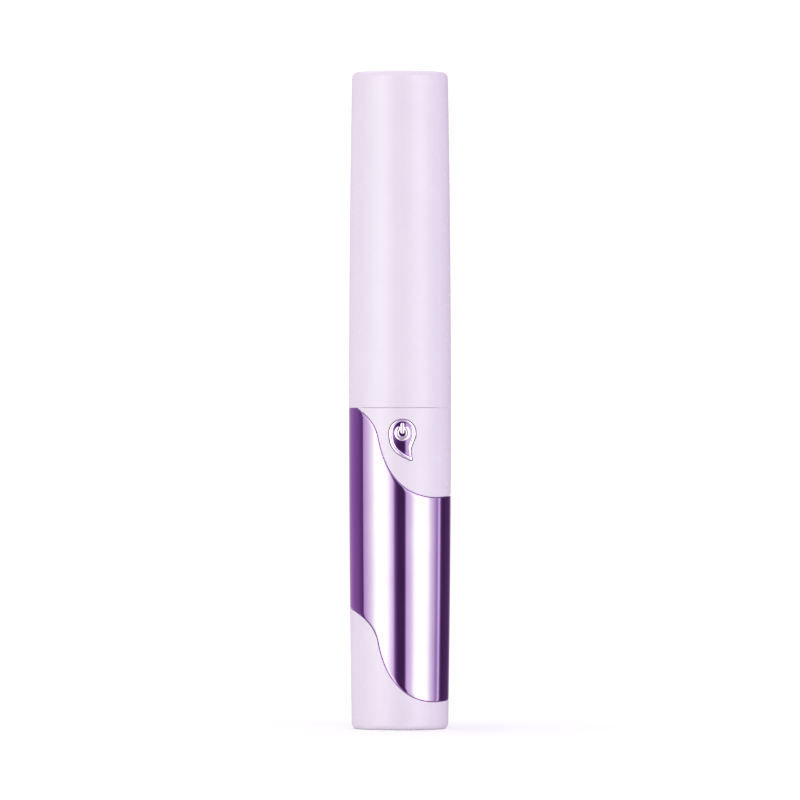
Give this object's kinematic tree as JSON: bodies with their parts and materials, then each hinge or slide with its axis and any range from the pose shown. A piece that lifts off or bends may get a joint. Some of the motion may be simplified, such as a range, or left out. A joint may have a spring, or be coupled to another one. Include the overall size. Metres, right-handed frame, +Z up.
{
  "type": "heated eyelash curler",
  "caption": "Slim heated eyelash curler pen with a long pull-off cap, a wavy plated sleeve, a drop-shaped power button, a pull-off battery cover and a comb head inside the cap.",
  "frame": {"origin": "middle of the flat foot, which the pen stands on", "axes": "+Z up along the pen through the cap, -Y the way the power button faces, +X to the right of someone who looks at the button"},
  "size_m": [0.02, 0.02, 0.1288],
  "materials": {
    "lavender_plastic": "satin lavender moulding",
    "plated_purple": "purple vacuum-plated plastic, mirror gloss",
    "white_plastic": "fine matt moulding",
    "comb_plastic": "heat-resistant, satin",
    "ceramic": "unglazed",
    "heater_wire": "drawn resistance wire",
    "mica": "pressed mica sheet",
    "board_green": "solder mask",
    "chip_black": "moulded package",
    "nickel_steel": "nickel plated",
    "cell_jacket": "plain jacket with no print",
    "insulation_red": "wire insulation",
    "insulation_black": "wire insulation",
    "insulation_white": "wire insulation",
    "glass_bead": "glass-coated bead"
  },
  "bodies": {
    "handle": {"upper_shell": "lavender_plastic", "plated_sleeve": "plated_purple", "chassis_front": "white_plastic", "chassis_back": "white_plastic", "neck_collar": "white_plastic", "head_body": "white_plastic", "comb_insert": "comb_plastic", "heater_core": "ceramic", "heater_coil": "heater_wire", "mica_strip": "mica", "thermistor": "glass_bead", "thermistor_lead_left": "insulation_white", "thermistor_lead_right": "insulation_white", "heater_lead_red": "insulation_red", "heater_lead_black": "insulation_black", "head_screw": "nickel_steel", "board_screw_left": "nickel_steel", "board_screw_right": "nickel_steel", "circuit_board": "board_green", "control_chip": "chip_black", "power_inductor": "chip_black", "power_transistor": "chip_black", "capacitor": "ceramic", "switch_body": "chip_black", "switch_cover": "nickel_steel", "battery_cell": "cell_jacket", "positive_contact": "nickel_steel", "negative_strip": "nickel_steel"},
    "cap": {"cap": "lavender_plastic"},
    "battery_cover": {"battery_cover": "lavender_plastic", "spring_plate": "nickel_steel", "battery_spring": "nickel_steel"},
    "power_button": {"power_button": "plated_purple"},
    "switch_plunger": {"switch_plunger": "chip_black"}
  },
  "joints": [
    {"name": "cap_pull", "type": "slide", "parent": "handle", "child": "cap", "axis": [0, 0, 1], "range_m": [0, 0.066]},
    {"name": "handle_pull", "type": "slide", "parent": "battery_cover", "child": "handle", "axis": [0, 0, 1], "range_m": [0, 0.026]},
    {"name": "power_button_press", "type": "slide", "parent": "handle", "child": "power_button", "axis": [0, 1, 0], "range_m": [0, 0.0004], "stiffness_N_per_m": 1200, "springref_m": -0.0008},
    {"name": "switch_plunger_press", "type": "slide", "parent": "handle", "child": "switch_plunger", "axis": [0, 1, 0], "range_m": [0, 0.0004]}
  ],
  "couplings": [
    {"joint": "switch_plunger_press", "follows": "power_button_press", "ratio": 1}
  ]
}
